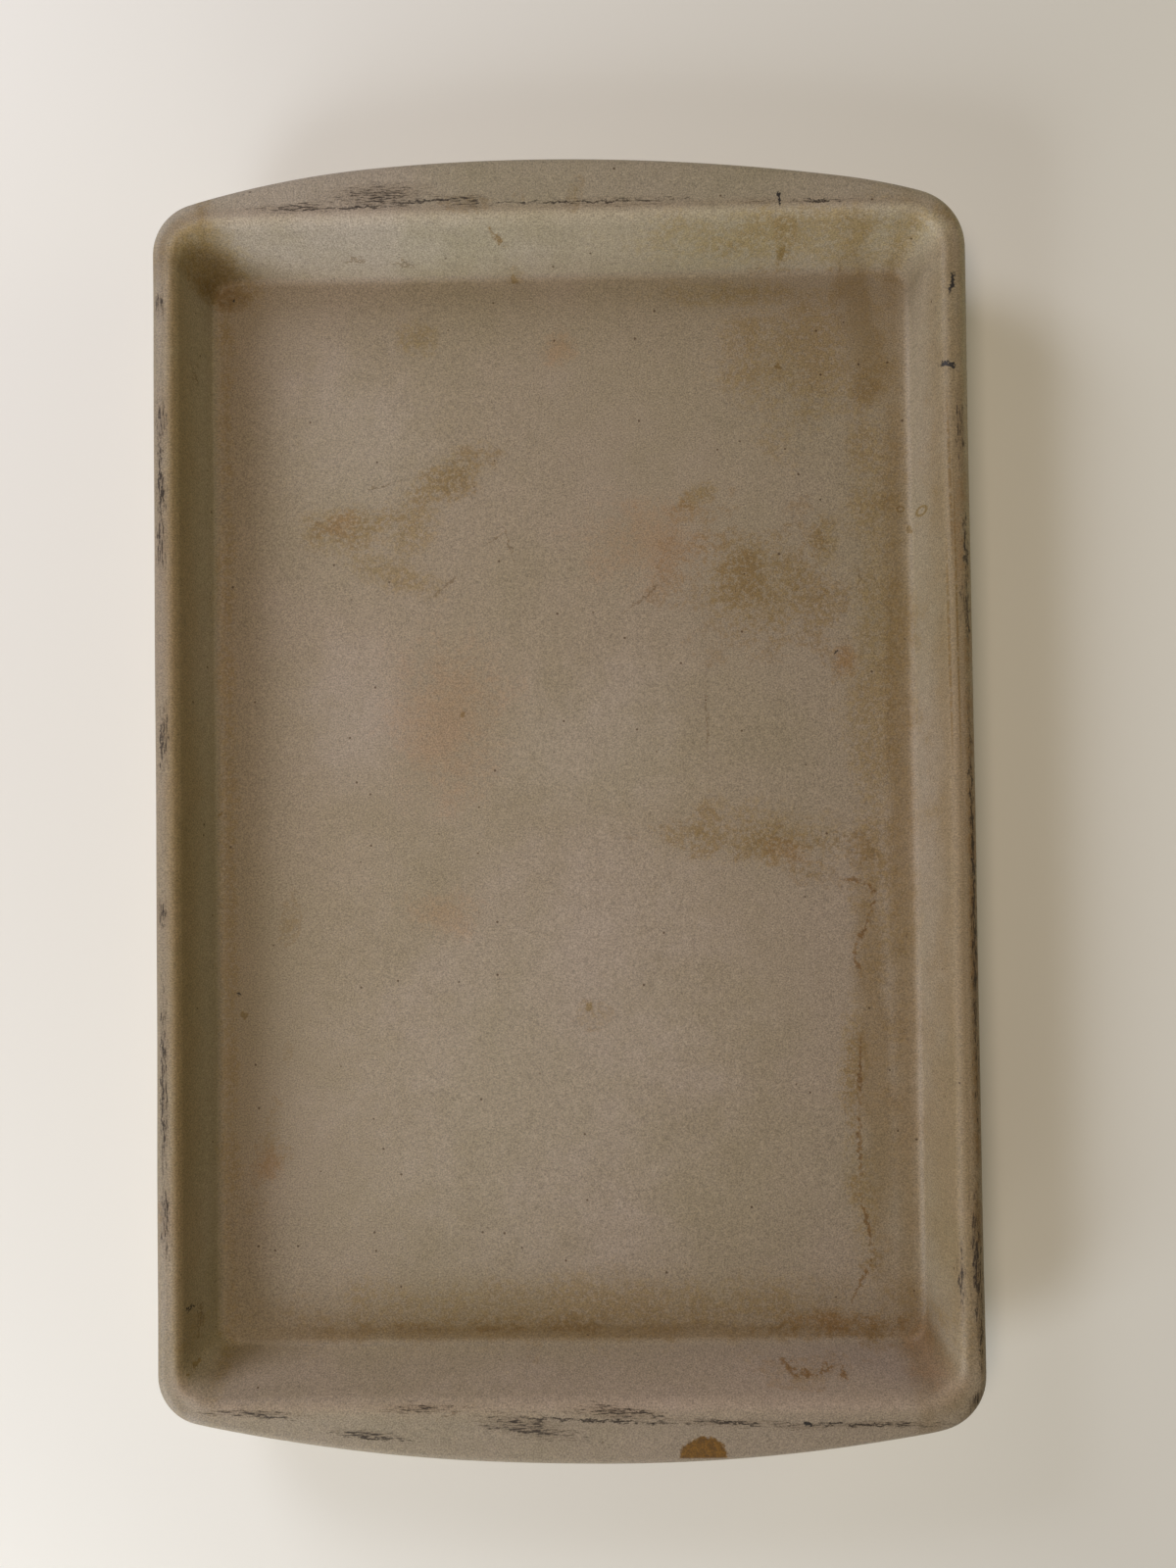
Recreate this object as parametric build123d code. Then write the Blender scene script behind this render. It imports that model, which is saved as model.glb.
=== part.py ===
from build123d import *
from math import asin, cos, radians, sin, tan
import os

# A one-piece stoneware baking tray, pressed between two mould halves and fired.
# Millimetres. X runs across the tray, Y along it, Z up. The origin is on the surface that
# the tray stands on, under the middle of the floor.

# Overall sizes
RIM_WIDTH = 266.0            # across the lip of the two long sides
TRAY_LENGTH = 423.0          # over the middle of the two handle flanges
TRAY_HEIGHT = 31.0

# Lip and handle flanges, seen from above
FLANGE_THICKNESS = 9.0
HANDLE_RADIUS = 660.0        # long shallow arc of each handle
HANDLE_HALF_ANGLE = 7.0      # degrees of that arc to each side of the middle
SHOULDER_RADIUS = 240.0      # tighter arc that leads round to the corner
CORNER_RADIUS = 17.5
LIP_ROUNDING = 4.0           # edge radius that makes the long lips full-round
FLANGE_UNDER_ROUNDING = 3.0

# Inside of the tray
FLOOR_THICKNESS = 8.0
MOUTH_WIDTH = 249.4          # inner walls carried up to the plane of the lip
MOUTH_LENGTH = 381.0
MOUTH_CORNER_RADIUS = 13.0
FLOOR_WIDTH = 237.2
FLOOR_LENGTH = 361.8
FLOOR_CORNER_RADIUS = 7.0
FLOOR_COVE = 4.0             # rounding where the walls meet the floor

# Outside of the walls
WALL_THICKNESS = 8.0
OUTER_CORNER_RADIUS = 20.0
BASE_CORNER_RADIUS = 15.0
BASE_EDGE_ROUNDING = 5.0

# Foot band round the underside
FOOT_BAND_WIDTH = 20.0
FOOT_RECESS_DEPTH = 1.0
FOOT_RECESS_TAPER = 45.0     # degrees of draft on the recess's edge

# Worked out from the above
SIDE_SLOPE = (MOUTH_WIDTH - FLOOR_WIDTH) / 2 / (TRAY_HEIGHT - FLOOR_THICKNESS)
END_SLOPE = (MOUTH_LENGTH - FLOOR_LENGTH) / 2 / (TRAY_HEIGHT - FLOOR_THICKNESS)
FLANGE_UNDERSIDE = TRAY_HEIGHT - FLANGE_THICKNESS


def wall_outside(height):
    """Width and length of the walls' outside at this height, parallel to the inside."""
    below_mouth = TRAY_HEIGHT - height
    side_wall = WALL_THICKNESS * (1 + SIDE_SLOPE**2) ** 0.5
    end_wall = WALL_THICKNESS * (1 + END_SLOPE**2) ** 0.5
    width = MOUTH_WIDTH + 2 * (side_wall - below_mouth * SIDE_SLOPE)
    length = MOUTH_LENGTH + 2 * (end_wall - below_mouth * END_SLOPE)
    return width, length


def rounded_rectangle(width, length, radius, height):
    """A flat rounded rectangle, centred on the origin, lifted to this height."""
    return Pos(0, 0, height) * RectangleRounded(width, length, radius)


def rim_quarter():
    """Edges of one quarter of the rim outline: handle arc, shoulder arc, corner, long side."""
    handle_angle = radians(HANDLE_HALF_ANGLE)
    handle_reach = HANDLE_RADIUS * sin(handle_angle)
    shoulder_centre = handle_reach - SHOULDER_RADIUS * sin(handle_angle)
    corner_centre = RIM_WIDTH / 2 - CORNER_RADIUS
    corner_start = asin((corner_centre - shoulder_centre) / (SHOULDER_RADIUS - CORNER_RADIUS))
    shoulder_angle = corner_start - handle_angle
    corner_angle = radians(90) - corner_start

    handle = JernArc((0, TRAY_LENGTH / 2), (1, 0), HANDLE_RADIUS, -HANDLE_HALF_ANGLE)
    shoulder = JernArc(handle @ 1, handle % 1, SHOULDER_RADIUS, -shoulder_angle / radians(1))
    corner = JernArc(shoulder @ 1, shoulder % 1, CORNER_RADIUS, -corner_angle / radians(1))
    side = Line(corner @ 1, (RIM_WIDTH / 2, 0))
    return [handle, shoulder, corner, side]


def rim_outline():
    """The closed outline of the lip and both handle flanges as a face."""
    quarter = Curve() + rim_quarter()
    half = quarter + mirror(quarter, about=Plane.XZ)
    return make_face(half + mirror(half, about=Plane.YZ))


def rim_slab():
    """The level slab that holds the lip and the flanges, rounded along its outer edges."""
    slab = Pos(0, 0, FLANGE_UNDERSIDE) * extrude(rim_outline(), FLANGE_THICKNESS)
    slab = fillet(slab.edges().group_by(Axis.Z)[-1], LIP_ROUNDING)
    return fillet(slab.edges().group_by(Axis.Z)[0], FLANGE_UNDER_ROUNDING)


def wall_body():
    """The solid block inside the outer faces of the walls, up into the rim slab."""
    base_width, base_length = wall_outside(0)
    top_width, top_length = wall_outside(FLANGE_UNDERSIDE + FLANGE_UNDER_ROUNDING)
    base = rounded_rectangle(base_width, base_length, BASE_CORNER_RADIUS, 0)
    top = rounded_rectangle(
        top_width, top_length, OUTER_CORNER_RADIUS, FLANGE_UNDERSIDE + FLANGE_UNDER_ROUNDING
    )
    block = loft([base, top], ruled=True)
    return fillet(block.edges().group_by(Axis.Z)[0], BASE_EDGE_ROUNDING)


def cavity():
    """What the press's upper mould half fills: the inside of the tray."""
    floor = rounded_rectangle(FLOOR_WIDTH, FLOOR_LENGTH, FLOOR_CORNER_RADIUS, FLOOR_THICKNESS)
    mouth = rounded_rectangle(MOUTH_WIDTH, MOUTH_LENGTH, MOUTH_CORNER_RADIUS, TRAY_HEIGHT)
    plug = loft([floor, mouth], ruled=True)
    return fillet(plug.edges().group_by(Axis.Z)[0], FLOOR_COVE)


def foot_recess():
    """The shallow panel in the underside that leaves a foot band to stand on."""
    base_width, base_length = wall_outside(0)
    width = base_width - 2 * FOOT_BAND_WIDTH
    length = base_length - 2 * FOOT_BAND_WIDTH
    draft = 2 * FOOT_RECESS_DEPTH * tan(radians(FOOT_RECESS_TAPER))
    lower = rounded_rectangle(width, length, BASE_CORNER_RADIUS, 0)
    upper = rounded_rectangle(
        width - draft, length - draft, BASE_CORNER_RADIUS - draft / 2, FOOT_RECESS_DEPTH
    )
    return loft([lower, upper], ruled=True)


def mouth_edges(tray):
    """The edges where the inner walls meet the plane of the lip."""
    half_width = MOUTH_WIDTH / 2 + 0.1
    half_length = MOUTH_LENGTH / 2 + 0.1
    found = []
    for edge in tray.edges().group_by(Axis.Z)[-1]:
        middle = edge @ 0.5
        if abs(middle.X) < half_width and abs(middle.Y) < half_length:
            found.append(edge)
    return found


def stoneware_tray():
    """The whole fired body."""
    tray = rim_slab() + wall_body() - cavity() - foot_recess()
    return fillet(mouth_edges(tray), LIP_ROUNDING)


os.makedirs("parts", exist_ok=True)
tray = stoneware_tray()
tray.label = "stoneware_tray"
export_step(tray, "parts/stoneware_tray.step")
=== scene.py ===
import math

import bpy
import numpy as np
from mathutils import Euler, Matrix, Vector


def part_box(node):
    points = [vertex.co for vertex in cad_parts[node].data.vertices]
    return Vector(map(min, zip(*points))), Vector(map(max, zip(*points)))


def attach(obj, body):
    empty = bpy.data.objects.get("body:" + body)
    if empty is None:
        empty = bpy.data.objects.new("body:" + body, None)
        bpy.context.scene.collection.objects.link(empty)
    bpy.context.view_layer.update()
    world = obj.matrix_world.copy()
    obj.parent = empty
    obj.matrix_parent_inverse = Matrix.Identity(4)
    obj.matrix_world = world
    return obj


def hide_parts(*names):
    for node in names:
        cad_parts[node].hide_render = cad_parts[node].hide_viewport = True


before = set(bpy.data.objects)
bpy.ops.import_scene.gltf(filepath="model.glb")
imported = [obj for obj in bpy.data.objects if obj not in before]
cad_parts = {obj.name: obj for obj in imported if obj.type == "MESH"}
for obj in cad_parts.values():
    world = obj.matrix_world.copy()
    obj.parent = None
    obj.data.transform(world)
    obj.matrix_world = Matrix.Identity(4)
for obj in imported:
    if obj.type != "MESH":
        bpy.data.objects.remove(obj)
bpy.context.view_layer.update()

# A pressed stoneware baking tray on a pale table, under five soft lamps, the strongest on its left.
# Lengths are in millimetres unless they are said to be in metres, and MM turns them to metres.
# "back" is +Y, "front" is -Y, and "left" is -X.

MM = 0.001
NODE = "stoneware_tray"
TRAY_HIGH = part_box(NODE)[1] / MM

# ---------------------------------------------------------------- sizes of the tray's surfaces

HALF_WIDTH = TRAY_HIGH.x
HALF_LENGTH = TRAY_HIGH.y
RIM_TOP = TRAY_HIGH.z
FLOOR_TOP = 8.0
PANEL_RISE = 1.0             # the underside's panel, above the foot band

# (half width, half length, corner radius) of the level curves that the sections run through
FLOOR_START = (HALF_WIDTH - 23.4, HALF_LENGTH - 39.6, 12.0)
WALL_FOOT = (HALF_WIDTH - 13.8, HALF_LENGTH - 30.0, 7.0)
MOUTH = (HALF_WIDTH - 8.3, HALF_LENGTH - 21.0, 13.0)
OUTER_WALL_TOP = (HALF_WIDTH - 2.9, HALF_LENGTH - 16.6, 19.0)
BASE = (HALF_WIDTH - 8.2, HALF_LENGTH - 25.5, 15.0)
BAND_INSIDE = (HALF_WIDTH - 28.2, HALF_LENGTH - 45.5, 15.0)
PANEL_EDGE = (HALF_WIDTH - 29.2, HALF_LENGTH - 46.5, 14.0)
PANEL_START = (HALF_WIDTH - 33.0, HALF_LENGTH - 50.0, 8.0)

# Each handle's edge: where it reaches furthest, and for each half the radius and angle of its
# shallow arc, then the radii of its shoulder and of the tray's corner.
BACK_HANDLE = {"apex": -10.0, "left": (640, 4.5, 297, 17.0), "right": (715, 8.3, 182, 19.5)}
FRONT_HANDLE = {"apex": 12.0, "left": (902, 2.3, 546, 16.0), "right": (554, 10.7, 61, 18.0)}

LIP_EDGE_HEIGHT = 4.5        # of the lip's upright outer edge
LIP_ROOT_DEPTH = 11.0        # from the lip's top down to where its lower side meets the wall
FLANGE_FALL = 1.4            # how far a handle's top falls from its crest to its edge
FLANGE_EDGE_HEIGHT = 6.4     # of a handle's upright edge
FLANGE_ROOT_DEPTH = 9.6      # from the lip's top down to where a handle's lower side meets the wall
EDGE_LEAN = 0.2              # how far a handle's edge leans, each way
EDGE_SHY = 0.02              # keeps the leaning edge inside the CAD box
FULL_OVERHANG = 8.0          # a flange this wide has all of the handle's shape

# Radii of the sections' roundings. Where there are two, they are the lip's and a handle's.
COVE_ROUNDING = 2.6
MOUTH_ROUNDINGS = (3.3, 5.0)
EDGE_TOP_ROUNDINGS = (3.9, 3.0)
EDGE_FOOT_ROUNDING = 3.0
ROOT_ROUNDING = 5.0
BASE_ROUNDING = 5.0
BAND_ROUNDING = 1.2
PANEL_ROUNDING = 1.5

# How the sections round the tray are spread
CORNER_HUB = (95.0, 158.0)   # the corner sections fan out from here
SIDE_SECTIONS, END_SECTIONS, CORNER_SECTIONS = 150, 90, 34
CORNER_CROWDING = 0.45       # gathers the corner's sections on its rounding
FURTHEST_REACH = 200.0       # no level curve is further than this from a section's foot
HALVINGS = 40

# How uneven the clay is: the sides as a share of their distance from the middle, and the rim
# and floor in height
SIDE_WAVES = 0.0005
RIM_WAVES = 0.14
FLOOR_WAVES = 0.16


# ---------------------------------------------------------------- level curves seen from above


def edge_fall(distance, span, arcs):
    """How far a handle's edge has fallen back at this distance from its apex, span being the
    distance from the apex to the tray's side."""
    handle_radius, handle_degrees, shoulder_radius, corner_radius = arcs
    turn = math.radians(handle_degrees)
    handle_reach = handle_radius * math.sin(turn)
    handle_fall = handle_radius * (1 - math.cos(turn))
    shoulder_hub = handle_reach - shoulder_radius * math.sin(turn)
    corner_hub = span - corner_radius
    full_turn = math.asin((corner_hub - shoulder_hub) / (shoulder_radius - corner_radius))
    shoulder_reach = shoulder_hub + shoulder_radius * math.sin(full_turn)
    shoulder_top = handle_fall + shoulder_radius * math.cos(turn)
    corner_top = shoulder_top - (shoulder_radius - corner_radius) * math.cos(full_turn)

    def arc(radius, hub):
        return np.sqrt(np.maximum(radius**2 - (distance - hub) ** 2, 0.0))

    return np.select(
        [distance <= handle_reach, distance <= shoulder_reach],
        [
            handle_radius - arc(handle_radius, 0.0),
            shoulder_top - arc(shoulder_radius, shoulder_hub),
        ],
        corner_top - arc(corner_radius, corner_hub),
    )


def handle_edge(x, handle):
    """Distance from the tray's middle to a handle's edge, along Y, at each x."""
    apex = handle["apex"]
    left = edge_fall(apex - x, HALF_WIDTH + apex, handle["left"])
    right = edge_fall(x - apex, HALF_WIDTH - apex, handle["right"])
    return HALF_LENGTH - np.where(x < apex, left, right)


def outside_rim(x, y):
    """Above zero outside the outline of the lip and the handles."""
    within = np.clip(x, -HALF_WIDTH, HALF_WIDTH)
    edge = np.where(y > 0, handle_edge(within, BACK_HANDLE), handle_edge(within, FRONT_HANDLE))
    return np.maximum(np.abs(x) - HALF_WIDTH, np.abs(y) - edge)


def outside_rounded(curve):
    """A function that is above zero outside a rounded rectangle."""
    half_width, half_length, radius = curve

    def outside(x, y):
        across = np.abs(x) - (half_width - radius)
        along = np.abs(y) - (half_length - radius)
        beyond = np.hypot(np.maximum(across, 0), np.maximum(along, 0))
        return beyond + np.minimum(np.maximum(across, along), 0) - radius

    return outside


def section_planes():
    """The foot and outward direction of each section's plane, anticlockwise from the front end
    of the right side."""
    hub_x, hub_y = CORNER_HUB
    feet, directions = [], []

    def straight(count, start, end, direction):
        for step in np.arange(count) / count:
            feet.append(np.add(start, np.subtract(end, start) * step))
            directions.append(direction)

    def corner(x, y, first_degrees):
        for step in np.arange(CORNER_SECTIONS) / CORNER_SECTIONS:
            crowded = step + CORNER_CROWDING * math.sin(2 * math.pi * step) / (2 * math.pi)
            angle = math.radians(first_degrees + 90 * crowded)
            feet.append((x, y))
            directions.append((math.cos(angle), math.sin(angle)))

    straight(SIDE_SECTIONS, (hub_x, -hub_y), (hub_x, hub_y), (1, 0))
    corner(hub_x, hub_y, 0)
    straight(END_SECTIONS, (hub_x, hub_y), (-hub_x, hub_y), (0, 1))
    corner(-hub_x, hub_y, 90)
    straight(SIDE_SECTIONS, (-hub_x, hub_y), (-hub_x, -hub_y), (-1, 0))
    corner(-hub_x, -hub_y, 180)
    straight(END_SECTIONS, (-hub_x, -hub_y), (hub_x, -hub_y), (0, -1))
    corner(hub_x, -hub_y, 270)
    return np.array(feet, float), np.array(directions, float)


def reach(outside, feet, directions):
    """How far each section's plane runs from its foot to a level curve, by halving."""
    near, far = np.zeros(len(feet)), np.full(len(feet), FURTHEST_REACH)
    for _ in range(HALVINGS):
        middle = (near + far) / 2
        points = feet + directions * middle[:, None]
        beyond = outside(points[:, 0], points[:, 1]) > 0
        near, far = np.where(beyond, near, middle), np.where(beyond, middle, far)
    return (near + far) / 2


# ---------------------------------------------------------------- sections and the mesh


def eased(value):
    """Smoothly from 0 to 1 as value goes from 0 to 1."""
    held = np.clip(value, 0, 1)
    return held * held * (3 - 2 * held)


def section_corners(feet, directions):
    """The corner points of every section, from the floor over the lip to the underside, each
    with its rounding radius and how many steps its rounding and the run before it get."""
    rim = reach(outside_rim, feet, directions) - EDGE_SHY
    wall_top = reach(outside_rounded(OUTER_WALL_TOP), feet, directions)
    handle = eased((rim - wall_top - (HALF_WIDTH - OUTER_WALL_TOP[0])) / FULL_OVERHANG)

    def between(lip_value, handle_value):
        return lip_value + (handle_value - lip_value) * handle

    def at(curve):
        return reach(outside_rounded(curve), feet, directions)

    edge_top = RIM_TOP - FLANGE_FALL
    edge_foot = between(RIM_TOP - LIP_EDGE_HEIGHT, edge_top - FLANGE_EDGE_HEIGHT)
    root = between(RIM_TOP - LIP_ROOT_DEPTH, RIM_TOP - FLANGE_ROOT_DEPTH)
    return [
        (at(FLOOR_START), FLOOR_TOP, 0.0, 0, 0),
        (at(WALL_FOOT), FLOOR_TOP, COVE_ROUNDING, 3, 5),
        (at(MOUTH), RIM_TOP, between(*MOUTH_ROUNDINGS), 9, 6),
        (rim + EDGE_LEAN * handle, between(RIM_TOP, edge_top), between(*EDGE_TOP_ROUNDINGS), 5, 6),
        (rim - EDGE_LEAN * handle, edge_foot, EDGE_FOOT_ROUNDING, 1, 5),
        (wall_top, root, ROOT_ROUNDING, 4, 4),
        (at(BASE), 0.0, BASE_ROUNDING, 8, 5),
        (at(BAND_INSIDE), 0.0, BAND_ROUNDING, 4, 2),
        (at(PANEL_EDGE), PANEL_RISE, PANEL_ROUNDING, 1, 2),
        (at(PANEL_START), PANEL_RISE, 0.0, 2, 0),
    ]


def rounded_sections(corners):
    """Rings of (distance, height) per section: straight runs joined by circular roundings."""
    count = len(corners[0][0])
    points = [np.stack([far, np.broadcast_to(high, count)], 1) for far, high, *_ in corners]
    rings, last = [points[0]], points[0]
    for index in range(1, len(points) - 1):
        _, _, radius, run_steps, round_steps = corners[index]
        point = points[index]
        before, after = point - points[index - 1], points[index + 1] - point
        into = before / np.linalg.norm(before, axis=1, keepdims=True)
        out_of = after / np.linalg.norm(after, axis=1, keepdims=True)
        turn = np.arccos(np.clip((into * out_of).sum(1, keepdims=True), -1, 1))
        tangent = np.broadcast_to(radius, count)[:, None] * np.tan(turn / 2)
        start, end = point - into * tangent, point + out_of * tangent
        rings += [last + (start - last) * (k / run_steps) for k in range(1, run_steps + 1)]
        for t in np.arange(1, round_steps + 1) / round_steps:
            pull = 2 * t * (1 - t) * np.cos(turn / 2)
            whole = (1 - t) ** 2 + pull + t**2
            rings.append(((1 - t) ** 2 * start + pull * point + t**2 * end) / whole)
        last = end
    run_steps = corners[-1][3]
    rings += [last + (points[-1] - last) * (k / run_steps) for k in range(1, run_steps + 1)]
    return rings


def filled_middle(ring):
    """A grid of points inside a closed ring of sections, by a Coons patch on its four sides."""
    across = END_SECTIONS + CORNER_SECTIONS
    along = SIDE_SECTIONS + CORNER_SECTIONS
    first = len(ring) - CORNER_SECTIONS // 2
    looped = np.roll(np.arange(len(ring)), -first)
    looped = np.append(looped, looped[0])
    right = looped[: along + 1]
    back = looped[along : along + across + 1][::-1]
    left = looped[along + across : 2 * along + across + 1][::-1]
    front = looped[2 * along + across :]
    u = np.linspace(0, 1, across + 1)[:, None, None]
    v = np.linspace(0, 1, along + 1)[None, :, None]
    sides = (1 - u) * ring[left][None] + u * ring[right][None]
    ends = (1 - v) * ring[front][:, None] + v * ring[back][:, None]
    corners = (1 - v) * ((1 - u) * ring[front[0]] + u * ring[front[-1]])
    corners = corners + v * ((1 - u) * ring[back[0]] + u * ring[back[-1]])
    border = {"right": right, "back": back, "left": left, "front": front}
    return sides + ends - corners, border


def tray_surface():
    """Vertices and quads of the whole closed tray, in millimetres."""
    feet, directions = section_planes()
    count = len(feet)
    rings = rounded_sections(section_corners(feet, directions))
    walls = [np.column_stack([feet + directions * ring[:, :1], ring[:, 1]]) for ring in rings]
    vertices = [np.concatenate(walls)]
    here = np.arange(count)
    there = np.roll(here, -1)
    quads = []
    for step in range(len(walls) - 1):
        inner, outer = step * count, (step + 1) * count
        quads.append(np.column_stack([inner + here, outer + here, outer + there, inner + there]))

    used = len(walls) * count
    for ring, first, upward in ((walls[0], 0, True), (walls[-1], used - count, False)):
        grid, border = filled_middle(ring)
        numbers = np.zeros(grid.shape[:2], int)
        inside = (grid.shape[0] - 2) * (grid.shape[1] - 2)
        numbers[1:-1, 1:-1] = np.arange(inside).reshape(grid.shape[0] - 2, -1) + used
        numbers[-1, :], numbers[0, :] = first + border["right"], first + border["left"]
        numbers[:, -1], numbers[:, 0] = first + border["back"], first + border["front"]
        vertices.append(grid[1:-1, 1:-1].reshape(-1, 3))
        used += inside
        loop = [numbers[:-1, :-1], numbers[1:, :-1], numbers[1:, 1:], numbers[:-1, 1:]]
        patch = np.stack(loop if upward else loop[::-1], -1).reshape(-1, 4)
        quads.append(patch)
    return np.concatenate(vertices), np.concatenate(quads)


def hand_pressed(points):
    """The slight unevenness of pressed and fired clay: wavy sides, a rim and floor not quite
    level. The sides only move inwards and the rim only down, so the tray stays inside its CAD
    box."""
    x, y, z = points.T
    side = np.sin(y / 34 + 0.8 + 0.9 * np.sign(x)) + 0.6 * np.sin(y / 13.5 + 2.0 * np.sign(x))
    x = x * (1 - SIDE_WAVES * (1.6 - side) * (z > PANEL_RISE + 1))
    level = np.sin(x / 47 + y / 83 + 1.1) + 0.7 * np.sin(y / 37 - x / 61 + 2.3)
    raised = eased((z - FLOOR_TOP) / (RIM_TOP - FLOOR_TOP))
    z = z - RIM_WAVES * (1.7 - level) * raised
    foot_x, foot_y, _ = WALL_FOOT
    on_floor = (np.abs(z - FLOOR_TOP) < 2.0) & (np.abs(x) < foot_x) & (np.abs(y) < foot_y)
    dish = np.sin(x / 52 + 0.4) * np.cos(y / 71 + 0.9) + 0.5 * np.sin(y / 29 + x / 23)
    z = z + FLOOR_WAVES * dish * on_floor
    return np.column_stack([x, y, z])


def make_tray():
    """The visible tray, which stands for the CAD node."""
    vertices, quads = tray_surface()
    mesh = bpy.data.meshes.new("pressed_stoneware_tray")
    mesh.from_pydata((hand_pressed(vertices) * MM).tolist(), [], quads.tolist())
    hold_soft_marks(mesh, vertices)
    mesh.update()
    mesh.shade_smooth()
    tray = bpy.data.objects.new("pressed_stoneware_tray", mesh)
    bpy.context.scene.collection.objects.link(tray)
    tray.data.materials.append(stoneware())
    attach(tray, "root")
    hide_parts(NODE)


# ---------------------------------------------------------------- marks left by baking, and painted shade and light

# Marks lie where the tray is seen to have them from above. Each is an ellipse in the plan:
# (x, y, length, width, degrees that its length is turned by).

# Broad soft marks, held as values on the mesh's points
SOFT_MARKS = {
    # oil: old oil films, and painted shade at the back-left corner, along the back wall's right
    # part and at the left wall's foot
    "oil_and_painted_shade": [
        (-48.5, 160.5, 17, 15, 0), (-40, 112, 46, 18, 30), (-52, 97, 36, 22, 80),
        (-74, 96, 36, 20, 15), (71.5, 71.5, 60, 44, -30), (46.5, 105, 16, 9, 30),
        (90, 87, 24, 12, 90), (73.5, -10, 62, 24, -12), (97, -85, 50, 12, 85),
        (99, -133.5, 66, 15, 95), (81.5, -174.5, 66, 14, 0), (63.5, 174, 74, 13, 0),
        (107, 50, 330, 26, 90), (-19.5, -175, 170, 10, 0), (-114, 181, 32, 20, -20),
        (-58, 80, 44, 14, -20), (82, 187, 110, 13, 0), (66, -14, 70, 16, -4),
        (5, -170, 260, 26, 0), (80, 150, 60, 60, 0), (-115.5, 0, 620, 8, 90),
    ],
    "pink": [
        (0, 156.5, 15, 14, 0), (-75, 97, 18, 14, 30), (76.5, -17, 24, 12, -15),
        (97, 49.5, 12, 18, 0), (-42.5, -35.5, 36, 26, 0), (117, -180, 20, 14, 60),
        (-101, -121, 14, 12, 0), (85.5, -175, 44, 12, 0), (30, 89, 60, 40, 0),
        (-39.5, 29.5, 50, 70, 0), (128.5, 82, 40, 7, 90), (131, -20, 260, 3.5, 90),
    ],
    # seasoned: brown seasoning, and painted shade along the walls' feet, in the corners and on the
    # floor beside the right wall
    "seasoned_and_painted_shade": [
        (114, 0, 620, 14, 90), (127.5, 0, 620, 16, 90), (-125, 0, 620, 9.5, 90),
        (0, -178, 320, 9, 0), (-118, 184, 30, 20, 50), (119, -184, 34, 24, -50),
        (104, -90, 200, 18, 92), (-113, 176, 16, 14, 0), (-122, 186, 40, 26, 45),
        (104, 160, 80, 20, 100), (125.5, -110, 200, 20, 90),
    ],
    # pale: paler clay, with a painted sheen over the floor's front half and painted light on the
    # back wall's left part
    "pale_and_painted_light": [
        (-11.5, -87, 200, 150, 85), (-69, 121, 60, 80, 20), (-74, 29.5, 44, 60, 0),
        (10, 20, 90, 60, 20), (-62, 187, 120, 16, 0), (-120, 0, 620, 9, 90),
    ],
    "stain": [
        (75, 185.2, 9, 7, 55), (-15.5, 181, 7, 4, 0), (74.5, 181.5, 40, 2.4, 0),
        (56.5, 185, 6, 3, 0), (-11.5, 198, 8, 5, 30), (6, 199, 11, 5, 82),
        (-29.5, 196, 16, 6, 0), (9, -71.5, 13, 11, 0), (89, 71.5, 7, 6, 0),
        (65.5, 63.5, 20, 12, 20), (75.5, 83, 18, 9, -20), (48.5, 93, 7, 6, 0),
        (66, 72, 66, 48, -30), (-38, 112, 30, 14, 30), (-66, 97, 30, 14, 10),
        (68, -13, 66, 14, -6), (131.2, 86, 40, 3.0, 90), (131.4, -70, 130, 3.0, 90),
        (131.6, 20, 60, 2.6, 90), (84, -24, 22, 10, -20), (45, 97, 18, 5, 10),
        (-102, -112, 26, 8, 80), (-110.5, -136.5, 12, 6, 20), (-95, -39.5, 20, 7, 75),
        (-96, -84, 12, 6, 80), (-98, -119, 12, 8, 30), (83.5, -176.5, 52, 9, 0),
        (103, -179, 10, 7, 0), (-12.5, -182, 11, 5, 0), (-19.5, -175, 90, 6, 0),
        (102, -153.5, 11, 7, 40), (-131, -133.5, 10, 4, 90), (86.5, -22, 8, 5, 0),
        (75.5, -16, 26, 8, -8), (79.5, -186, 30, 5, 0), (96, -107, 50, 5, 92),
        (129.5, 87, 30, 4, 90), (130.5, -39.5, 190, 3.4, 90), (-118.5, 176, 10, 8, 0),
        (83.5, 60.5, 14, 8, 40),
    ],
    "soot": [
        (-85, 195.5, 36, 3.4, 0), (-55.5, 196, 38, 3.6, -1), (-57.5, 200, 40, 7, 2),
        (-29.5, 196.5, 22, 6, 0), (20, 195.5, 60, 3.4, 0), (64.5, 195, 22, 2.6, 0),
        (-103, -193.5, 44, 3.2, -3), (-47.5, -192.5, 30, 3, 0), (-65, -200.5, 26, 3.6, -6),
        (-13.5, -198, 38, 8, -10), (16, -194, 34, 5, -5), (59.5, -197.5, 70, 3, -2),
        (99, -197.5, 40, 2.4, 0), (-129.5, 125.5, 24, 4.4, 90), (-129.5, 103, 16, 4.6, 90),
        (-129.5, 87, 26, 4.4, 90), (-128.5, 24.5, 18, 4, 90), (-130, -33.5, 10, 5, 90),
        (-129, -130.5, 30, 4, 90), (-130, 164.5, 10, 4, 90), (-129.5, -89, 70, 3, 90),
        (130, -147.5, 58, 4.4, 90), (129, -190, 10, 5, 65), (130, 63.5, 14, 3.6, 90),
        (129.5, 119, 30, 3.4, 90), (131, -59.5, 110, 3.2, 90), (125, -153.5, 34, 2.4, 90),
    ],
}

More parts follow.
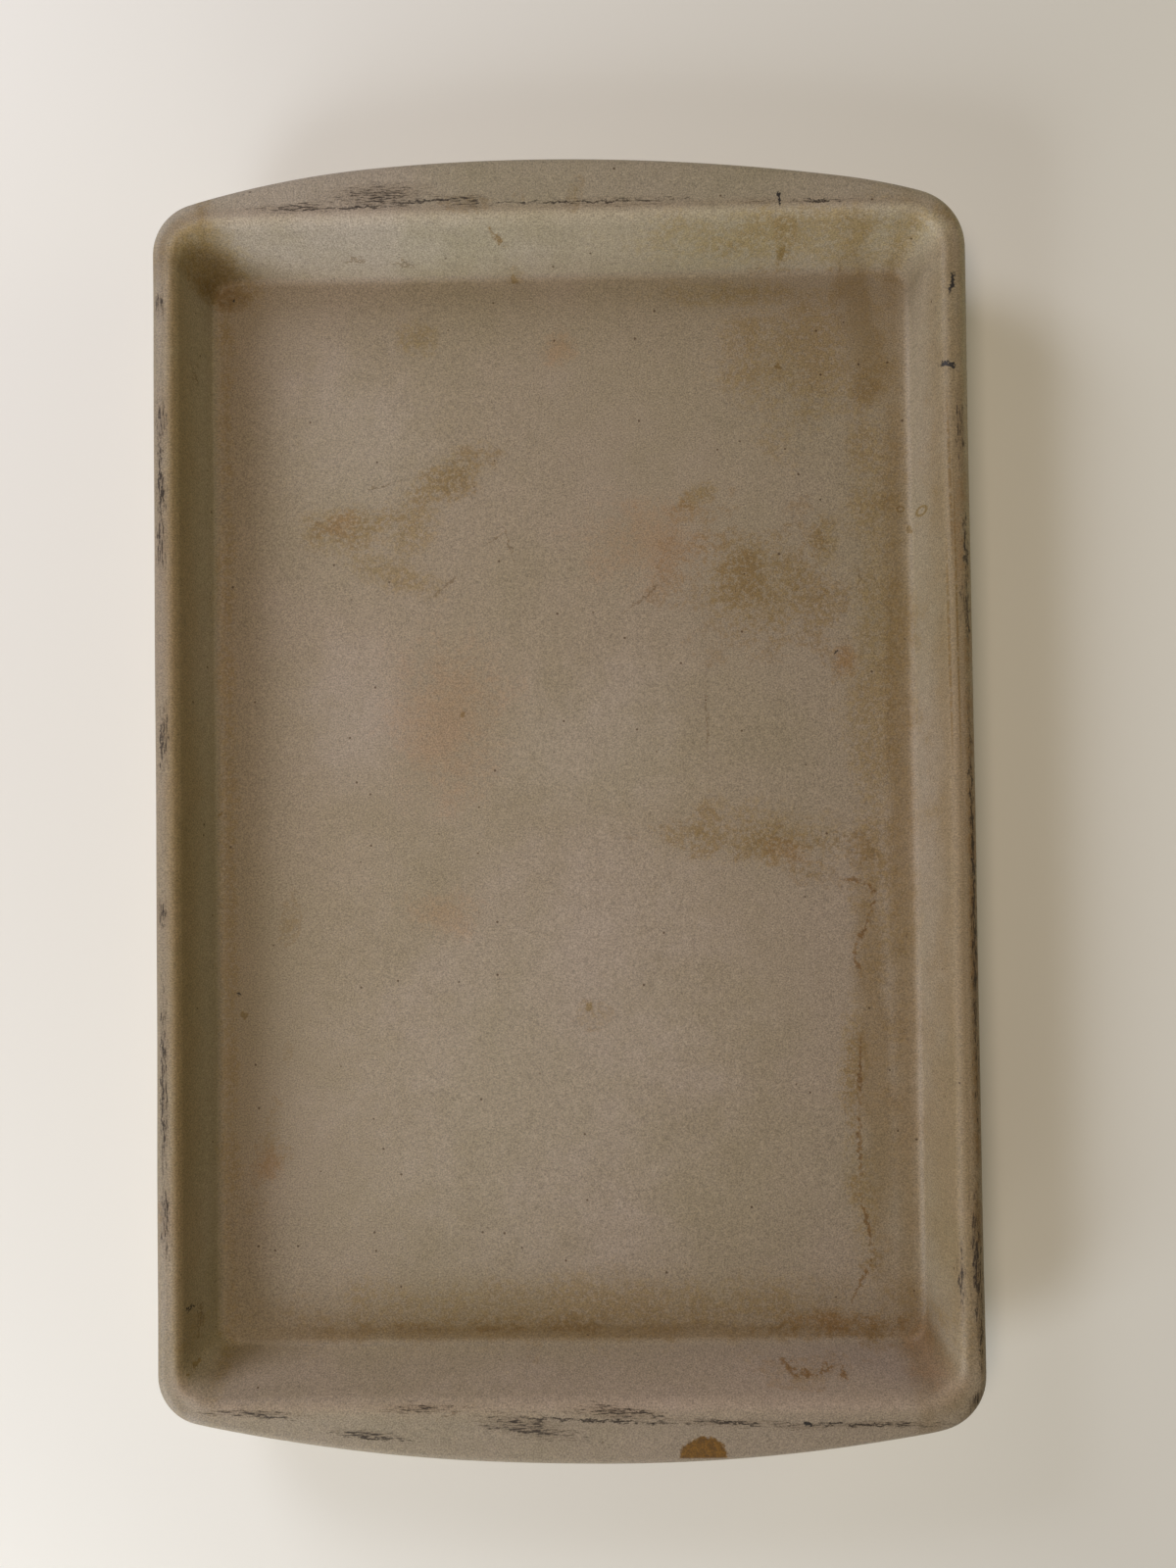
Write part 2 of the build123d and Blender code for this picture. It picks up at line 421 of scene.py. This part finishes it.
# Small sharp marks, drawn by the material's nodes
FINE_STAINS = [
    (74.5, 149, 2.6, 2.2, 0), (-34.5, 31.5, 2.4, 2.2, 0), (7.5, -68.5, 5, 2.4, 50),
    (118, 92, 4, 2, 90), (-110.5, -70.5, 3.6, 2.8, 0), (-118, -2, 3.2, 1, 70),
    (-122, -181, 4, 1.6, 90), (75, 184.5, 4, 3, 60), (-15.5, 180.5, 4.5, 2.6, -60),
]
RINGS = [(120.7, 96.8, 4.0, 2.2, 90), (115.4, 99.2, 3.2, 2.6, 0)]
INK_STROKES = [
    (127.5, 166.5, 8.0, 1.7, 80), (126.3, 140.2, 6.0, 1.6, -24), (-123.5, -162.5, 3, 0.6, 90),
    (72.5, 195.5, 6, 0.8, 92), (-112, -63.5, 1.8, 1.5, 0), (-112.5, 175, 1.1, 1.1, 0),
    (75, -197.5, 3.6, 1.2, 0), (92.5, 51, 1.4, 0.6, 50),
]
SCRATCHES = [
    (-62, 110, 24, 0.8, 16), (-40.5, 75, 21, 1.0, 41), (-23.5, 91, 15, 0.9, 30),
    (-18, 89, 25, 0.9, 104), (29, 71.5, 30, 1.2, 38), (101, 76, 16, 0.8, 90),
    (48.5, 29.5, 40, 0.8, 90), (115, -45.5, 4.5, 0.8, 80), (-37.5, -194, 16, 1.0, 22),
    (-122, 145, 13, 0.7, 90), (-122, -167.5, 18, 0.7, 90), (-70, 184.6, 14, 0.7, 1),
    (-52, 184, 12, 0.7, -1),
]
SOOT_LINES = [
    (85.5, 194.5, 24, 1.2, 0), (51.5, -197, 30, 1.4, -5), (-84, 195, 28, 1.5, 0),
    (-62, 195.3, 34, 1.6, 1), (-42, 196.8, 44, 1.5, 3), (10, 195.6, 80, 1.1, 0),
    (8, -196.2, 76, 1.5, -2), (92, -197.8, 60, 1.3, -1), (-64, -201.5, 34, 1.5, -5),
    (-14, -199.6, 34, 2.2, -7), (-98, -194.3, 26, 1.4, -7), (20, -193.4, 30, 1.3, -9),
    (129.3, -150, 44, 1.7, 92), (130.8, -170, 26, 1.5, 88), (-129.6, 108, 44, 1.5, 90),
    (-129.8, 22, 22, 1.3, 90), (130.4, 80, 30, 2.2, 90), (130.6, 58, 20, 2.0, 90),
    (131.0, -20, 130, 1.8, 90.5), (-130, -90, 70, 1.2, 90),
]
GROOVES = [(125.8, 104, 70, 1.3, 91), (124.9, 48, 90, 1.1, 90.5), (127.2, 60, 130, 0.9, 90.5)]
TIDE_LINES = [
    [(94, -26), (101, -27.5), (105, -31.5), (103, -37.5), (97, -51.5), (99, -58.5)],
    [(99, -79), (98, -104), (98, -130.5), (102, -153.5), (94, -169.5)],
    [(69.5, -184.5), (74, -186.5), (79.5, -186.5), (87.5, -185), (90, -187)],
    [(-22, 189), (-17.5, 186.5)],
]
TIDE_LINE_WIDTH = 1.7

# Half an ellipse: the middle of its flat front edge, then the whole ellipse's length and width
HALF_MOON = (42.5, -208.7, 16.4, 15.4)


def nearness(x, y, marks):
    """1 at the middle of each elliptical mark, 0 at its edge, down to -1 far from all of them."""
    field = np.full(len(x), -1.0)
    for mark_x, mark_y, length, width, degrees in marks:
        turn = math.radians(degrees)
        along = (x - mark_x) * math.cos(turn) + (y - mark_y) * math.sin(turn)
        across = (y - mark_y) * math.cos(turn) - (x - mark_x) * math.sin(turn)
        field = np.maximum(field, 1 - np.hypot(along * 2 / length, across * 2 / width))
    return field


def hold_soft_marks(mesh, points):
    """Gives the mesh one value per point and kind of soft mark, for the material to read."""
    x, y, _ = points.T
    for name, marks in SOFT_MARKS.items():
        attribute = mesh.attributes.new(name, "FLOAT", "POINT")
        attribute.data.foreach_set("value", nearness(x, y, marks).astype(np.float32))


# ---------------------------------------------------------------- colours and textures

OLIVE_CLAY = (0.248, 0.207, 0.134, 1)
PINKISH_CLAY = (0.272, 0.222, 0.163, 1)
DARK_SUGAR = (0.095, 0.043, 0.001, 1)
LIGHT_SUGAR = (0.165, 0.079, 0.003, 1)
SOOT_BLACK = (0.020, 0.012, 0.006, 1)
INK_BLACK = (0.016, 0.013, 0.010, 1)
TABLE_CREAM = (0.765, 0.775, 0.735, 1)

# Tints that wear, oil, heat, scratches, painted shade and painted light multiply the colour by
# The pale tint is partly painted sheen and painted light
PALE_AND_PAINTED_LIGHT_TINT = (1.10, 1.13, 1.22, 1)
LEFT_WALL_TINT = (1.17, 1.16, 1.08, 1)
RIGHT_WALL_TINT = (1.02, 1.02, 0.99, 1)
FRONT_WALL_TINT = (1.15, 1.13, 1.21, 1)
# The back wall's tint is painted light, the light that falls on it from the front
BACK_WALL_PAINTED_LIGHT_TINT = (1.38, 1.48, 1.54, 1)
SIDE_RIM_TINT = (0.84, 0.83, 0.80, 1)
FRONT_RIM_TINT = (0.91, 0.92, 0.93, 1)
BACK_RIM_TINT = (1.05, 1.10, 1.13, 1)
# The oil tints also darken the few oil marks that are painted shade
OIL_AND_PAINTED_SHADE_TINT = (0.95, 0.92, 0.82, 1)
OIL_AND_PAINTED_SHADE_MOTTLE_TINT = (0.88, 0.83, 0.66, 1)
OIL_AND_PAINTED_SHADE_CRINKLE_TINT = (0.82, 0.72, 0.54, 1)
PINK_TINT = (1.00, 0.88, 0.76, 1)
# The seasoned tint is brown seasoning and painted shade
SEASONED_AND_PAINTED_SHADE_TINT = (0.80, 0.73, 0.58, 1)
STAIN_TINT = (0.74, 0.64, 0.41, 1)
STAIN_EDGE_TINT = (0.78, 0.67, 0.49, 1)
TIDE_TINT = (0.68, 0.53, 0.34, 1)
HAZE_TINT = (0.80, 0.76, 0.71, 1)
SCRATCH_TINT = (0.66, 0.60, 0.52, 1)
SPECK_TINT = (0.35, 0.28, 0.22, 1)

# Noises, each by the size of its features, its detail and its roughness
GRAIN = (0.52, 2.0, 0.75)
SAND = (2.0, 4.0, 0.68)
FLUTTER = (2.4, 3.0, 0.65)
SHAKE = (4.0, 4.0, 0)        # how much the flutter shifts the outlines of small marks
LUMPS = (11.0, 2.0, 0.5)
CLOUDS = (15.0, 5.0, 0.66)
DRIFTS = (75.0, 2.0, 0.5)
END_STREAKS = ((4.0, 0.55, 3.0), 5.0, 0.72)
SIDE_STREAKS = ((0.55, 4.0, 3.0), 5.0, 0.72)
SPECK_SPACING = 7.0

# Where one part's tint gives way to the next: how far out along the tray, how high, and how far
# past the wall's foot
END_WALLS_FROM, END_WALLS_TO = 177.0, 187.0
END_WALLS_WIDER = 3.2
WALL_HEIGHTS = (8.2, 10.0)
WALL_WIDTHS = (10.0, 6.5)
RIM_HEIGHTS = (15.0, 20.0)
RIM_WIDTHS = (8.5, 12.5)
LEFT_TO_RIGHT = (-60.0, 60.0)
SIDE_LIPS = (121.0, 125.0)   # how far from the middle the streaks turn to run along the sides

CLAY_ROUGHNESS = 0.60
TABLE_ROUGHNESS = 0.7


# ---------------------------------------------------------------- materials


class NodeWriter:
    """Writes a material's nodes. A value is a number, a vector, a colour or a node's output."""

    def __init__(self, material):
        material.use_nodes = True
        self.tree = material.node_tree
        self.shader = self.tree.nodes["Principled BSDF"]

    def connect(self, socket, value):
        if isinstance(value, bpy.types.NodeSocket):
            self.tree.links.new(value, socket)
        else:
            socket.default_value = value

    def add(self, kind, inputs, output=0, **settings):
        node = self.tree.nodes.new("ShaderNode" + kind)
        for name, setting in settings.items():
            setattr(node, name, setting)
        for key, value in inputs.items():
            self.connect(node.inputs[key], value)
        return node.outputs[output]

    def math(self, operation, *values):
        return self.add("Math", dict(enumerate(values)), operation=operation)

    def vector(self, operation, *values, output=0):
        return self.add("VectorMath", dict(enumerate(values)), output, operation=operation)

    def product(self, first, *others):
        for other in others:
            first = self.math("MULTIPLY", first, other)
        return first

    def highest(self, first, *others):
        for other in others:
            first = self.math("MAXIMUM", first, other)
        return first

    def smooth(self, value, start, end):
        """Smoothly from 0 at start to 1 at end."""
        inputs = {0: value, 1: start, 2: end}
        return self.add("MapRange", inputs, interpolation_type="SMOOTHSTEP")

    def noise(self, place, size, detail, roughness, output=0):
        """Cloudy values about 0.5, with features of this size, or of one size for each axis."""
        if isinstance(size, tuple):
            place = self.vector("DIVIDE", place, size)
            size = 1.0
        inputs = {"Vector": place, "Scale": 1 / size, "Detail": detail, "Roughness": roughness}
        return self.add("TexNoise", inputs, output)

    def swing(self, noise, gain):
        """The noise about zero, times the gain."""
        return self.math("MULTIPLY_ADD", noise, gain, -gain / 2)

    def total(self, first, *others):
        for other in others:
            first = self.math("ADD", first, other)
        return first

    # A Mix node has sockets of every kind: inputs 2 and 3 take numbers, inputs 6 and 7 take
    # colours, and output 2 is the colour that it gives.

    def blend(self, amount, low, high):
        """A number between low and high."""
        return self.add("Mix", {0: amount, 2: low, 3: high})

    def mix(self, amount, low, high):
        """A colour between low and high."""
        return self.add("Mix", {0: amount, 6: low, 7: high}, 2, data_type="RGBA")

    def tint(self, amount, colour, tint):
        """The colour multiplied by the tint, as far as the amount."""
        inputs = {0: amount, 6: colour, 7: tint}
        return self.add("Mix", inputs, 2, data_type="RGBA", blend_type="MULTIPLY")

    def nearness(self, flat, marks):
        """1 at the middle of each elliptical mark, 0 at its edge, below 0 outside all of them."""
        nearest = 100.0
        for x, y, length, width, degrees in marks:
            turn = math.radians(degrees)
            along = (2 * math.cos(turn) / length, 2 * math.sin(turn) / length, 0)
            across = (-2 * math.sin(turn) / width, 2 * math.cos(turn) / width, 0)
            offset = self.vector("SUBTRACT", flat, (x, y, 0))
            u = self.vector("DOT_PRODUCT", offset, along, output="Value")
            v = self.vector("DOT_PRODUCT", offset, across, output="Value")
            far = self.math("MULTIPLY_ADD", v, v, self.math("MULTIPLY", u, u))
            nearest = self.math("MINIMUM", far, nearest)
        return self.math("SUBTRACT", 1.0, self.math("SQRT", nearest))

    def held(self, name):
        """A value that the mesh holds on its points."""
        return self.add("Attribute", {}, "Fac", attribute_name=name)


def chained_strokes(lines, width):
    """Long thin marks that follow each line's points."""
    strokes = []
    for line in lines:
        for (x0, y0), (x1, y1) in zip(line, line[1:]):
            length = math.hypot(x1 - x0, y1 - y0) + width
            turn = math.degrees(math.atan2(y1 - y0, x1 - x0))
            strokes.append(((x0 + x1) / 2, (y0 + y1) / 2, length, width, turn))
    return strokes


class TrayPlaces:
    """Where a point lies on the tray, as node outputs in millimetres, how far it faces up, and
    the noises there."""

    def __init__(self, write):
        place = write.add("TexCoord", {}, "Object")
        self.point = write.vector("DIVIDE", place, (MM, MM, MM))
        self.flat = write.vector("MULTIPLY", self.point, (1, 1, 0))
        self.x, self.y, self.z = write.add("SeparateXYZ", {0: self.point}).node.outputs
        normal = write.add("SeparateXYZ", {0: write.add("TexCoord", {}, "Normal")}).node.outputs
        self.up = write.smooth(normal["Z"], 0.0, 0.25)
        flutter = write.noise(self.point, *FLUTTER, output="Color")
        shake = write.vector("SUBTRACT", flutter, (0.5, 0.5, 0.5))
        self.shaken = write.vector("MULTIPLY_ADD", shake, SHAKE, self.flat)
        self.grain = write.noise(self.point, *GRAIN)
        self.sand = write.noise(self.point, *SAND)
        self.clouds = write.noise(self.point, *CLOUDS)
        self.patchy = write.total(write.swing(self.clouds, 2.0), write.swing(self.sand, 1.4))
        cloudy_sand = write.total(self.sand, write.swing(self.clouds, 0.4))
        self.mottle = write.smooth(cloudy_sand, 0.40, 0.62)

    def beyond(self, write, curve):
        """Distance outside a rounded rectangle, negative inside."""
        half_width, half_length, radius = curve
        across = write.vector("ABSOLUTE", self.flat)
        past = write.vector("SUBTRACT", across, (half_width - radius, half_length - radius, 0))
        outside = write.vector("LENGTH", write.vector("MAXIMUM", past, (0, 0, 0)), output="Value")
        sides = write.add("SeparateXYZ", {0: past}).node.outputs
        inside = write.math("MINIMUM", write.highest(sides["X"], sides["Y"]), 0.0)
        return write.math("SUBTRACT", write.total(outside, inside), radius)


def fired_clay(write, at):
    """Olive and pinkish clay in drifts and clouds, paler in patches: paler clay, a painted sheen
    over the floor's front half, and painted light on the back wall's left part.
    """
    drifts = write.noise(at.point, *DRIFTS)
    leaning = write.total(write.swing(drifts, 2.0), write.swing(at.clouds, 1.0))
    colour = write.mix(write.smooth(leaning, -0.6, 0.6), OLIVE_CLAY, PINKISH_CLAY)
    # Painted sheen and painted light: the pale marks brighten the floor's front half and the back
    # wall's left part
    pale_and_painted_light = write.total(write.held("pale_and_painted_light"), write.swing(at.clouds, 1.4))
    pale_and_painted_light = write.product(write.smooth(pale_and_painted_light, -0.2, 0.8), at.up)
    return write.tint(pale_and_painted_light, colour, PALE_AND_PAINTED_LIGHT_TINT)


def walls_and_rim(write, at, colour):
    """Walls a little paler than the floor, the back one much paler as painted light, and a duller
    rim at the sides.
    """
    back = write.smooth(at.y, END_WALLS_FROM, END_WALLS_TO)
    front = write.smooth(at.y, -END_WALLS_FROM, -END_WALLS_TO)
    right = write.smooth(at.x, *LEFT_TO_RIGHT)
    wider = write.product(write.total(back, front), END_WALLS_WIDER)
    past = write.math("SUBTRACT", at.beyond(write, WALL_FOOT), wider)
    wall = write.product(write.smooth(at.z, *WALL_HEIGHTS), write.smooth(past, *WALL_WIDTHS), at.up)
    tint = write.mix(right, LEFT_WALL_TINT, RIGHT_WALL_TINT)
    tint = write.mix(front, tint, FRONT_WALL_TINT)
    # Painted light: the back wall is tinted much paler than the other walls
    colour = write.tint(wall, colour, write.mix(back, tint, BACK_WALL_PAINTED_LIGHT_TINT))
    rim = write.product(write.smooth(past, *RIM_WIDTHS), write.smooth(at.z, *RIM_HEIGHTS))
    tint = write.mix(front, SIDE_RIM_TINT, FRONT_RIM_TINT)
    return write.tint(rim, colour, write.mix(back, tint, BACK_RIM_TINT))


def oil_and_painted_shade_film(write, at):
    """Where a film of old oil lies, and where a few of its marks are painted shade."""
    return write.product(write.smooth(write.total(write.held("oil_and_painted_shade"), at.patchy), -0.1, 0.9), at.up)


def oiled_with_painted_shade(write, at, colour, film):
    """Oil films with a little painted shade among them, patches where the clay shows pink, and a
    brown by the walls and in the corners that is partly seasoning and partly painted shade.
    """
    crinkle = write.smooth(write.math("ABSOLUTE", write.swing(at.sand, 1.0)), 0.05, 0.0)
    # Painted shade: the oil film also darkens a few marks in the back-left corner, on the back wall
    # and at the left wall's foot
    colour = write.tint(film, colour, OIL_AND_PAINTED_SHADE_TINT)
    colour = write.tint(write.product(film, at.mottle), colour, OIL_AND_PAINTED_SHADE_MOTTLE_TINT)
    colour = write.tint(write.product(film, crinkle, 0.6), colour, OIL_AND_PAINTED_SHADE_CRINKLE_TINT)
    pink = write.smooth(write.total(write.held("pink"), at.patchy), 0.0, 1.0)
    colour = write.tint(write.product(pink, at.up), colour, PINK_TINT)
    # Painted shade: the seasoned brown also darkens the walls' feet and the corners
    seasoned_and_painted_shade = write.total(write.held("seasoned_and_painted_shade"), write.swing(at.clouds, 1.0))
    seasoned_and_painted_shade = write.product(write.smooth(seasoned_and_painted_shade, 0.0, 0.7), at.up)
    return write.tint(seasoned_and_painted_shade, colour, SEASONED_AND_PAINTED_SHADE_TINT)


def stained(write, at, colour):
    """Brown mottled stains with darker edges, small solid ones, and lines that liquids left."""
    brown = write.total(write.held("stain"), write.swing(at.clouds, 3.6))
    edge = write.product(write.smooth(brown, -0.1, 0.15), write.smooth(brown, 0.5, 0.2), at.mottle)
    broken = write.total(write.product(at.mottle, 0.58), 0.12)
    brown = write.product(write.smooth(brown, 0.0, 1.0), broken)
    fine = write.total(write.nearness(at.shaken, FINE_STAINS), write.swing(at.sand, 0.8))
    ring = write.math("SUBTRACT", write.nearness(at.flat, RINGS), 0.3)
    ring = write.smooth(write.math("ABSOLUTE", ring), 0.3, 0.1)
    groove = write.smooth(write.nearness(at.flat, GROOVES), 0.0, 0.6)
    groove = write.product(groove, write.smooth(at.sand, 0.38, 0.50))
    stain = write.highest(brown, write.smooth(fine, 0.0, 0.5), ring, groove)
    colour = write.tint(write.product(stain, at.up), colour, STAIN_TINT)
    colour = write.tint(write.product(edge, at.up, 0.5), colour, STAIN_EDGE_TINT)
    tides = chained_strokes(TIDE_LINES, TIDE_LINE_WIDTH)
    tide = write.total(write.nearness(at.shaken, tides), write.swing(at.sand, 3.0))
    tide = write.product(write.smooth(tide, 0.0, 0.8), at.up)
    return write.tint(tide, colour, TIDE_TINT)


def half_moon(write, at, colour):
    """One half-moon of burnt sugar on the front handle."""
    moon_x, moon_y, length, width = HALF_MOON
    moon = write.nearness(at.shaken, [(moon_x, moon_y, length, width, 0)])
    behind_cut = write.smooth(at.y, moon_y - 0.3, moon_y + 0.4)
    moon = write.product(write.smooth(moon, 0.0, 0.12), behind_cut, at.up)
    sugar = write.mix(write.smooth(at.sand, 0.3, 0.7), DARK_SUGAR, LIGHT_SUGAR)
    return write.mix(moon, colour, sugar)


def soot_streaks(write, at):
    """Streaky noise that runs along the rim, whichever way the rim runs."""
    along_ends = write.noise(at.point, *END_STREAKS)
    along_sides = write.noise(at.point, *SIDE_STREAKS)
    on_sides = write.smooth(write.math("ABSOLUTE", at.x), *SIDE_LIPS)
    return write.blend(on_sides, along_ends, along_sides)


def soot_film(write, at, streaks):
    """Where soot lies, in patches and in fine lines."""
    patches = write.total(write.held("soot"), write.swing(streaks, 6.0))
    lines = write.total(write.nearness(at.shaken, SOOT_LINES), write.swing(streaks, 4.0))
    soot = write.highest(write.smooth(patches, 0.45, 1.15), write.smooth(lines, 0.05, 0.9))
    return write.product(soot, at.up)


def sooted_and_scratched(write, at, colour, streaks, soot):
    """Soot within a grey haze, strokes of ink, and scratches."""
    haze = write.total(write.held("soot"), write.swing(streaks, 2.0))
    haze = write.product(write.smooth(haze, -0.3, 0.8), at.up)
    colour = write.tint(haze, colour, HAZE_TINT)
    colour = write.mix(write.product(soot, 0.92), colour, SOOT_BLACK)
    ink = write.product(write.smooth(write.nearness(at.shaken, INK_STROKES), 0.0, 0.35), at.up)
    colour = write.mix(ink, colour, INK_BLACK)
    scratch = write.total(write.nearness(at.shaken, SCRATCHES), write.swing(at.sand, 2.4))
    scratch = write.product(write.smooth(scratch, 0.1, 0.8), at.up)
    return write.tint(scratch, colour, SCRATCH_TINT)


def specked_and_grainy(write, at, colour):
    """Dark iron specks here and there, and a fine sandy grain over everything."""
    inputs = {"Vector": at.point, "Scale": 1 / SPECK_SPACING}
    cells = write.add("TexVoronoi", inputs).node.outputs
    chosen = write.add("SeparateColor", {0: cells["Color"]})
    speck = write.smooth(cells["Distance"], 0.075, 0.045)
    speck = write.product(speck, write.smooth(chosen, 0.45, 0.5))
    colour = write.tint(speck, colour, SPECK_TINT)
    shade = write.total(write.swing(at.grain, 1.9), write.swing(at.sand, 0.40))
    shade = write.total(shade, write.swing(at.clouds, 0.12), 1.0)
    shade = write.add("CombineXYZ", {0: shade, 1: shade, 2: shade})
    return write.vector("MULTIPLY", colour, shade)


def relief(write, at):
    """The bumps of the grain, the sand and broader lumps."""
    height = write.total(write.product(at.grain, 0.07), write.product(at.sand, 0.12))
    height = write.total(height, write.product(write.noise(at.point, *LUMPS), 0.30))
    return write.add("Bump", {"Height": height, "Strength": 1.0, "Distance": MM})


def stoneware():
    """Unglazed, fine-grained warm grey stoneware, seasoned by years of baking, with painted shade
    at its walls' feet and corners and painted light on its back wall.
    """
    material = bpy.data.materials.new("seasoned_stoneware_with_painted_light_and_shade")
    write = NodeWriter(material)
    at = TrayPlaces(write)

    film = oil_and_painted_shade_film(write, at)
    colour = fired_clay(write, at)
    colour = walls_and_rim(write, at, colour)
    colour = oiled_with_painted_shade(write, at, colour, film)
    colour = stained(write, at, colour)
    colour = half_moon(write, at, colour)
    streaks = soot_streaks(write, at)
    soot = soot_film(write, at, streaks)
    colour = sooted_and_scratched(write, at, colour, streaks, soot)
    write.connect(write.shader.inputs["Base Color"], specked_and_grainy(write, at, colour))

    polish = write.total(write.product(film, -0.05), write.product(soot, 0.2))
    polish = write.total(polish, write.swing(at.sand, 0.25), CLAY_ROUGHNESS)
    write.connect(write.shader.inputs["Roughness"], polish)
    write.connect(write.shader.inputs["Normal"], relief(write, at))
    return material


def table_paint():
    """The plain pale table."""
    material = bpy.data.materials.new("pale_table")
    material.use_nodes = True
    shader = material.node_tree.nodes["Principled BSDF"]
    shader.inputs["Base Color"].default_value = TABLE_CREAM
    shader.inputs["Roughness"].default_value = TABLE_ROUGHNESS
    return material


# ---------------------------------------------------------------- the stage

TABLE_HALF_WIDTH = 3000.0

# Two windows on the left and a low one in front, a warm ceiling, and the room on the right. Each
# by its name, azimuth and elevation in degrees, size in metres, power in watts, and colour.
LAMPS = [
    ("front_window", 225, 25, 0.40, 6.7, (0.90, 0.93, 1.0)),
    ("back_window", 135, 25, 0.40, 6.1, (0.89, 0.89, 1.0)),
    ("low_front", 255, 12, 0.40, 2.6, (1.0, 0.96, 0.84)),
    ("ceiling", 180, 78, 0.40, 4.8, (1.0, 0.79, 0.60)),
    ("room", 20, 12, 0.50, 2.9, (1.0, 0.92, 0.58)),
]
LAMP_DISTANCE = 1.1          # in metres

CAMERA_PLACE = (14.7, -1.0, RIM_TOP + 378.2)
CAMERA_TILT = (1.117, 0.993, -0.703)        # in degrees from straight down
CAMERA_LENS = 27.05
CAMERA_SENSOR = 36.0


def make_table():
    """A wide plain floor under the tray."""
    half = TABLE_HALF_WIDTH * MM
    mesh = bpy.data.meshes.new("table")
    corners = [(-half, -half, 0), (half, -half, 0), (half, half, 0), (-half, half, 0)]
    mesh.from_pydata(corners, [], [(0, 1, 2, 3)])
    table = bpy.data.objects.new("table", mesh)
    bpy.context.scene.collection.objects.link(table)
    table.data.materials.append(table_paint())


def make_lamp(name, azimuth, elevation, size, power, colour):
    """A square soft light that faces the tray. Azimuth 0 is +X and 90 is the back."""
    data = bpy.data.lights.new(name, "AREA")
    data.shape = "SQUARE"
    data.size = size
    data.energy = power
    data.color = colour
    across, up = math.radians(azimuth), math.radians(elevation)
    level = math.cos(up)
    away = Vector((math.cos(across) * level, math.sin(across) * level, math.sin(up)))
    lamp = bpy.data.objects.new(name, data)
    lamp.location = away * LAMP_DISTANCE
    lamp.rotation_euler = away.to_track_quat("Z", "Y").to_euler()
    bpy.context.scene.collection.objects.link(lamp)


def make_light():
    """The lamps, and the even grey of a new world as fill."""
    for lamp in LAMPS:
        make_lamp(*lamp)
    bpy.context.scene.world = bpy.data.worlds.new("room_fill")


def make_camera():
    """Looks almost straight down, from where the tray's outline agrees with the photograph's."""
    data = bpy.data.cameras.new("camera")
    data.lens = CAMERA_LENS
    data.sensor_width = CAMERA_SENSOR
    camera = bpy.data.objects.new("camera", data)
    camera.location = np.array(CAMERA_PLACE) * MM
    camera.rotation_euler = Euler([math.radians(angle) for angle in CAMERA_TILT], "XYZ")
    bpy.context.scene.collection.objects.link(camera)
    bpy.context.scene.camera = camera


def main():
    make_camera()
    make_tray()
    make_table()
    make_light()
    bpy.context.scene.view_settings.view_transform = "Standard"


main()
